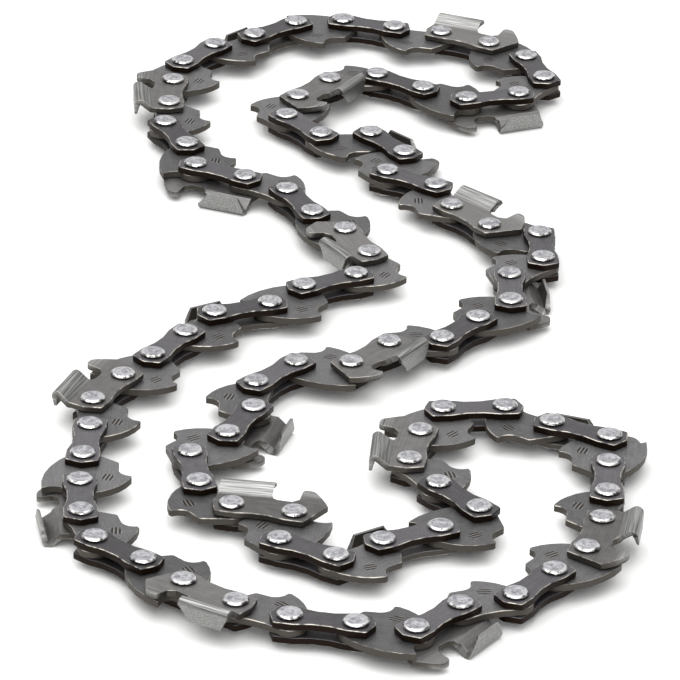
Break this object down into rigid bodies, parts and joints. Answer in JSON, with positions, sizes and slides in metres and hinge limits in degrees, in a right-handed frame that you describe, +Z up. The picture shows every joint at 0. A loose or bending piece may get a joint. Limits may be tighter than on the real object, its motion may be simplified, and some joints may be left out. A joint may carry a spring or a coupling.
{
  "type": "chainsaw chain loop",
  "caption": "Endless low profile saw chain of riveted drive links, tie straps and alternating cutters, lying flat in loose bends; it runs round a chainsaw's guide bar.",
  "frame": {"origin": "on the floor, under the middle of the loop's bounding box", "axes": "+Z up, off the floor; +Y along the loop, away from the viewer of the picture; +X to the right"},
  "size_m": [0.0942, 0.2384, 0.0062],
  "materials": {
    "chain_steel": "blackened stampings with bright rivets and chromed teeth"
  },
  "bodies": {
    "tie_link_01": {"tie_link_01": "chain_steel"},
    "right_cutter_link_02": {"right_cutter_link_02": "chain_steel"},
    "tie_link_03": {"tie_link_03": "chain_steel"},
    "left_cutter_link_04": {"left_cutter_link_04": "chain_steel"},
    "tie_link_05": {"tie_link_05": "chain_steel"},
    "right_cutter_link_06": {"right_cutter_link_06": "chain_steel"},
    "tie_link_07": {"tie_link_07": "chain_steel"},
    "left_cutter_link_08": {"left_cutter_link_08": "chain_steel"},
    "tie_link_09": {"tie_link_09": "chain_steel"},
    "right_cutter_link_10": {"right_cutter_link_10": "chain_steel"},
    "tie_link_11": {"tie_link_11": "chain_steel"},
    "left_cutter_link_12": {"left_cutter_link_12": "chain_steel"},
    "tie_link_13": {"tie_link_13": "chain_steel"},
    "right_cutter_link_14": {"right_cutter_link_14": "chain_steel"},
    "tie_link_15": {"tie_link_15": "chain_steel"},
    "left_cutter_link_16": {"left_cutter_link_16": "chain_steel"},
    "tie_link_17": {"tie_link_17": "chain_steel"},
    "right_cutter_link_18": {"right_cutter_link_18": "chain_steel"},
    "tie_link_19": {"tie_link_19": "chain_steel"},
    "left_cutter_link_20": {"left_cutter_link_20": "chain_steel"},
    "tie_link_21": {"tie_link_21": "chain_steel"},
    "right_cutter_link_22": {"right_cutter_link_22": "chain_steel"},
    "tie_link_23": {"tie_link_23": "chain_steel"},
    "left_cutter_link_24": {"left_cutter_link_24": "chain_steel"},
    "tie_link_25": {"tie_link_25": "chain_steel"},
    "right_cutter_link_26": {"right_cutter_link_26": "chain_steel"},
    "tie_link_27": {"tie_link_27": "chain_steel"},
    "left_cutter_link_28": {"left_cutter_link_28": "chain_steel"},
    "tie_link_29": {"tie_link_29": "chain_steel"},
    "right_cutter_link_30": {"right_cutter_link_30": "chain_steel"},
    "tie_link_31": {"tie_link_31": "chain_steel"},
    "left_cutter_link_32": {"left_cutter_link_32": "chain_steel"},
    "tie_link_33": {"tie_link_33": "chain_steel"},
    "right_cutter_link_34": {"right_cutter_link_34": "chain_steel"},
    "tie_link_35": {"tie_link_35": "chain_steel"},
    "left_cutter_link_36": {"left_cutter_link_36": "chain_steel"},
    "tie_link_37": {"tie_link_37": "chain_steel"},
    "right_cutter_link_38": {"right_cutter_link_38": "chain_steel"},
    "tie_link_39": {"tie_link_39": "chain_steel"},
    "left_cutter_link_40": {"left_cutter_link_40": "chain_steel"},
    "tie_link_41": {"tie_link_41": "chain_steel"},
    "right_cutter_link_42": {"right_cutter_link_42": "chain_steel"},
    "tie_link_43": {"tie_link_43": "chain_steel"},
    "left_cutter_link_44": {"left_cutter_link_44": "chain_steel"}
  },
  "joints": [
    {"name": "near_fold", "type": "hinge", "parent": "left_cutter_link_08", "child": "tie_link_09", "pos_m": [0.02497, -0.0414, 0.0031], "axis": [0, 0, 1], "range_deg": [-8, 8]},
    {"name": "pivot_19", "type": "hinge", "parent": "tie_link_09", "child": "right_cutter_link_10", "pos_m": [0.01163, -0.05065, 0.0031], "axis": [0, 0, 1], "range_deg": [-9.88, 9.88]},
    {"name": "pivot_21", "type": "hinge", "parent": "right_cutter_link_10", "child": "tie_link_11", "pos_m": [0.01433, -0.06796, 0.0031], "axis": [0, 0, 1], "range_deg": [-4.38, 4.38]},
    {"name": "pivot_23", "type": "hinge", "parent": "tie_link_11", "child": "left_cutter_link_12", "pos_m": [0.01462, -0.08215, 0.0031], "axis": [0, 0, 1], "range_deg": [-10.27, 10.27]},
    {"name": "pivot_25", "type": "hinge", "parent": "left_cutter_link_12", "child": "tie_link_13", "pos_m": [-0.001, -0.09219, 0.0031], "axis": [0, 0, 1], "range_deg": [-6.41, 6.41]},
    {"name": "pivot_27", "type": "hinge", "parent": "tie_link_13", "child": "right_cutter_link_14", "pos_m": [-0.00747, -0.07887, 0.0031], "axis": [0, 0, 1], "range_deg": [-2.48, 2.48]},
    {"name": "pivot_29", "type": "hinge", "parent": "right_cutter_link_14", "child": "tie_link_15", "pos_m": [-0.02223, -0.06954, 0.0031], "axis": [0, 0, 1], "range_deg": [-3.14, 3.14]},
    {"name": "pivot_31", "type": "hinge", "parent": "tie_link_15", "child": "left_cutter_link_16", "pos_m": [-0.01839, -0.05301, 0.0031], "axis": [0, 0, 1], "range_deg": [-3.34, 3.34]},
    {"name": "pivot_15", "type": "hinge", "parent": "left_cutter_link_08", "child": "tie_link_07", "pos_m": [0.04111, -0.05064, 0.0031], "axis": [0, 0, 1], "range_deg": [-9.87, 9.87]},
    {"name": "pivot_13", "type": "hinge", "parent": "tie_link_07", "child": "right_cutter_link_06", "pos_m": [0.04013, -0.06925, 0.0031], "axis": [0, 0, 1], "range_deg": [-11.35, 11.35]},
    {"name": "pivot_11", "type": "hinge", "parent": "right_cutter_link_06", "child": "tie_link_05", "pos_m": [0.03651, -0.08749, 0.0031], "axis": [0, 0, 1], "range_deg": [-10.53, 10.53]},
    {"name": "pivot_09", "type": "hinge", "parent": "tie_link_05", "child": "left_cutter_link_04", "pos_m": [0.02554, -0.10256, 0.0031], "axis": [0, 0, 1], "range_deg": [-3.56, 3.56]},
    {"name": "pivot_07", "type": "hinge", "parent": "left_cutter_link_04", "child": "tie_link_03", "pos_m": [0.01092, -0.11328, 0.0031], "axis": [0, 0, 1], "range_deg": [-3.2, 3.2]},
    {"name": "pivot_05", "type": "hinge", "parent": "tie_link_03", "child": "right_cutter_link_02", "pos_m": [-0.00752, -0.11065, 0.0031], "axis": [0, 0, 1], "range_deg": [-6.68, 6.68]},
    {"name": "pivot_03", "type": "hinge", "parent": "right_cutter_link_02", "child": "tie_link_01", "pos_m": [-0.02335, -0.10101, 0.0031], "axis": [0, 0, 1], "range_deg": [-6.29, 6.29]},
    {"name": "middle_fold", "type": "hinge", "parent": "left_cutter_link_16", "child": "tie_link_17", "pos_m": [-0.01439, -0.03515, 0.0031], "axis": [0, 0, 1], "range_deg": [-8, 8]},
    {"name": "pivot_35", "type": "hinge", "parent": "tie_link_17", "child": "right_cutter_link_18", "pos_m": [0.0006, -0.02736, 0.0031], "axis": [0, 0, 1], "range_deg": [-5.25, 5.25]},
    {"name": "pivot_37", "type": "hinge", "parent": "right_cutter_link_18", "child": "tie_link_19", "pos_m": [0.0152, -0.01748, 0.0031], "axis": [0, 0, 1], "range_deg": [-4.18, 4.18]},
    {"name": "pivot_39", "type": "hinge", "parent": "tie_link_19", "child": "left_cutter_link_20", "pos_m": [0.02654, -0.00269, 0.0031], "axis": [0, 0, 1], "range_deg": [-8.8, 8.8]},
    {"name": "pivot_41", "type": "hinge", "parent": "left_cutter_link_20", "child": "tie_link_21", "pos_m": [0.03221, 0.01389, 0.0031], "axis": [0, 0, 1], "range_deg": [-5.47, 5.47]},
    {"name": "pivot_43", "type": "hinge", "parent": "tie_link_21", "child": "right_cutter_link_22", "pos_m": [0.02344, 0.02629, 0.0031], "axis": [0, 0, 1], "range_deg": [-3.84, 3.84]},
    {"name": "pivot_45", "type": "hinge", "parent": "right_cutter_link_22", "child": "tie_link_23", "pos_m": [0.0144, 0.0422, 0.0031], "axis": [0, 0, 1], "range_deg": [-7.42, 7.42]},
    {"name": "pivot_01", "type": "hinge", "parent": "tie_link_01", "child": "left_cutter_link_44", "pos_m": [-0.03711, -0.08846, 0.0031], "axis": [0, 0, 1], "range_deg": [-7.54, 7.54]},
    {"name": "pivot_87", "type": "hinge", "parent": "left_cutter_link_44", "child": "tie_link_43", "pos_m": [-0.04037, -0.07023, 0.0031], "axis": [0, 0, 1], "range_deg": [-7.74, 7.74]},
    {"name": "pivot_85", "type": "hinge", "parent": "tie_link_43", "child": "right_cutter_link_42", "pos_m": [-0.03986, -0.0516, 0.0031], "axis": [0, 0, 1], "range_deg": [-6.49, 6.49]},
    {"name": "pivot_83", "type": "hinge", "parent": "right_cutter_link_42", "child": "tie_link_41", "pos_m": [-0.03555, -0.03396, 0.0031], "axis": [0, 0, 1], "range_deg": [-7.94, 7.94]},
    {"name": "pivot_81", "type": "hinge", "parent": "tie_link_41", "child": "left_cutter_link_40", "pos_m": [-0.02623, -0.01781, 0.0031], "axis": [0, 0, 1], "range_deg": [-3.65, 3.65]},
    {"name": "pivot_79", "type": "hinge", "parent": "left_cutter_link_40", "child": "tie_link_39", "pos_m": [-0.01285, -0.00618, 0.0031], "axis": [0, 0, 1], "range_deg": [-5.52, 5.52]},
    {"name": "pivot_77", "type": "hinge", "parent": "tie_link_39", "child": "right_cutter_link_38", "pos_m": [0.00109, 0.00567, 0.0031], "axis": [0, 0, 1], "range_deg": [-8.46, 8.46]},
    {"name": "pivot_47", "type": "hinge", "parent": "tie_link_23", "child": "left_cutter_link_24", "pos_m": [0.00907, 0.05568, 0.0031], "axis": [0, 0, 1], "range_deg": [-2.01, 2.01]},
    {"name": "pivot_49", "type": "hinge", "parent": "left_cutter_link_24", "child": "tie_link_25", "pos_m": [-0.0056, 0.06261, 0.0031], "axis": [0, 0, 1], "range_deg": [-6.56, 6.56]},
    {"name": "pivot_51", "type": "hinge", "parent": "tie_link_25", "child": "right_cutter_link_26", "pos_m": [-0.00996, 0.07887, 0.0031], "axis": [0, 0, 1], "range_deg": [-8.45, 8.45]},
    {"name": "pivot_53", "type": "hinge", "parent": "right_cutter_link_26", "child": "tie_link_27", "pos_m": [0.00411, 0.0895, 0.0031], "axis": [0, 0, 1], "range_deg": [-11.44, 11.44]},
    {"name": "pivot_55", "type": "hinge", "parent": "tie_link_27", "child": "left_cutter_link_28", "pos_m": [0.02005, 0.07987, 0.0031], "axis": [0, 0, 1], "range_deg": [-3.33, 3.33]},
    {"name": "pivot_57", "type": "hinge", "parent": "left_cutter_link_28", "child": "tie_link_29", "pos_m": [0.03412, 0.09022, 0.0031], "axis": [0, 0, 1], "range_deg": [-3.48, 3.48]},
    {"name": "pivot_59", "type": "hinge", "parent": "tie_link_29", "child": "right_cutter_link_30", "pos_m": [0.02444, 0.10534, 0.0031], "axis": [0, 0, 1], "range_deg": [-4.97, 4.97]},
    {"name": "far_fold", "type": "hinge", "parent": "right_cutter_link_38", "child": "tie_link_37", "pos_m": [-0.00093, 0.02313, 0.0031], "axis": [0, 0, 1], "range_deg": [-8, 8]},
    {"name": "pivot_73", "type": "hinge", "parent": "tie_link_37", "child": "left_cutter_link_36", "pos_m": [-0.01106, 0.03864, 0.0031], "axis": [0, 0, 1], "range_deg": [-9.1, 9.1]},
    {"name": "pivot_71", "type": "hinge", "parent": "left_cutter_link_36", "child": "tie_link_35", "pos_m": [-0.02704, 0.04818, 0.0031], "axis": [0, 0, 1], "range_deg": [-12.33, 12.33]},
    {"name": "pivot_69", "type": "hinge", "parent": "tie_link_35", "child": "right_cutter_link_34", "pos_m": [-0.03303, 0.06571, 0.0031], "axis": [0, 0, 1], "range_deg": [-5.92, 5.92]},
    {"name": "pivot_67", "type": "hinge", "parent": "right_cutter_link_34", "child": "tie_link_33", "pos_m": [-0.03238, 0.08434, 0.0031], "axis": [0, 0, 1], "range_deg": [-3.42, 3.42]},
    {"name": "pivot_65", "type": "hinge", "parent": "tie_link_33", "child": "left_cutter_link_32", "pos_m": [-0.0255, 0.10119, 0.0031], "axis": [0, 0, 1], "range_deg": [-10.91, 10.91]},
    {"name": "pivot_63", "type": "hinge", "parent": "left_cutter_link_32", "child": "tie_link_31", "pos_m": [-0.01096, 0.11282, 0.0031], "axis": [0, 0, 1], "range_deg": [-5.12, 5.12]}
  ],
  "couplings": [
    {"joint": "pivot_19", "follows": "near_fold", "ratio": -1.2354},
    {"joint": "pivot_21", "follows": "near_fold", "ratio": 0.5478},
    {"joint": "pivot_23", "follows": "near_fold", "ratio": 1.2833},
    {"joint": "pivot_25", "follows": "near_fold", "ratio": -0.8017},
    {"joint": "pivot_27", "follows": "near_fold", "ratio": 0.3095},
    {"joint": "pivot_29", "follows": "near_fold", "ratio": -0.3929},
    {"joint": "pivot_31", "follows": "near_fold", "ratio": 0.4173},
    {"joint": "pivot_15", "follows": "near_fold", "ratio": 1.2332},
    {"joint": "pivot_13", "follows": "near_fold", "ratio": -1.4181},
    {"joint": "pivot_11", "follows": "near_fold", "ratio": 1.3163},
    {"joint": "pivot_09", "follows": "near_fold", "ratio": 0.4453},
    {"joint": "pivot_07", "follows": "near_fold", "ratio": -0.4004},
    {"joint": "pivot_05", "follows": "near_fold", "ratio": -0.8345},
    {"joint": "pivot_03", "follows": "near_fold", "ratio": 0.7861},
    {"joint": "pivot_35", "follows": "middle_fold", "ratio": 0.6561},
    {"joint": "pivot_37", "follows": "middle_fold", "ratio": -0.5219},
    {"joint": "pivot_39", "follows": "middle_fold", "ratio": 1.1003},
    {"joint": "pivot_41", "follows": "middle_fold", "ratio": -0.6836},
    {"joint": "pivot_43", "follows": "middle_fold", "ratio": -0.4796},
    {"joint": "pivot_45", "follows": "middle_fold", "ratio": 0.9268},
    {"joint": "pivot_01", "follows": "middle_fold", "ratio": 0.9419},
    {"joint": "pivot_87", "follows": "middle_fold", "ratio": -0.9675},
    {"joint": "pivot_85", "follows": "middle_fold", "ratio": 0.811},
    {"joint": "pivot_83", "follows": "middle_fold", "ratio": -0.9921},
    {"joint": "pivot_81", "follows": "middle_fold", "ratio": 0.4567},
    {"joint": "pivot_79", "follows": "middle_fold", "ratio": 0.69},
    {"joint": "pivot_77", "follows": "middle_fold", "ratio": 1.058},
    {"joint": "pivot_47", "follows": "far_fold", "ratio": 0.2509},
    {"joint": "pivot_49", "follows": "far_fold", "ratio": 0.8203},
    {"joint": "pivot_51", "follows": "far_fold", "ratio": 1.056},
    {"joint": "pivot_53", "follows": "far_fold", "ratio": -1.4301},
    {"joint": "pivot_55", "follows": "far_fold", "ratio": 0.4166},
    {"joint": "pivot_57", "follows": "far_fold", "ratio": -0.435},
    {"joint": "pivot_59", "follows": "far_fold", "ratio": 0.6206},
    {"joint": "pivot_73", "follows": "far_fold", "ratio": 1.1372},
    {"joint": "pivot_71", "follows": "far_fold", "ratio": -1.5417},
    {"joint": "pivot_69", "follows": "far_fold", "ratio": -0.7396},
    {"joint": "pivot_67", "follows": "far_fold", "ratio": 0.4272},
    {"joint": "pivot_65", "follows": "far_fold", "ratio": 1.3631},
    {"joint": "pivot_63", "follows": "far_fold", "ratio": 0.6393}
  ]
}
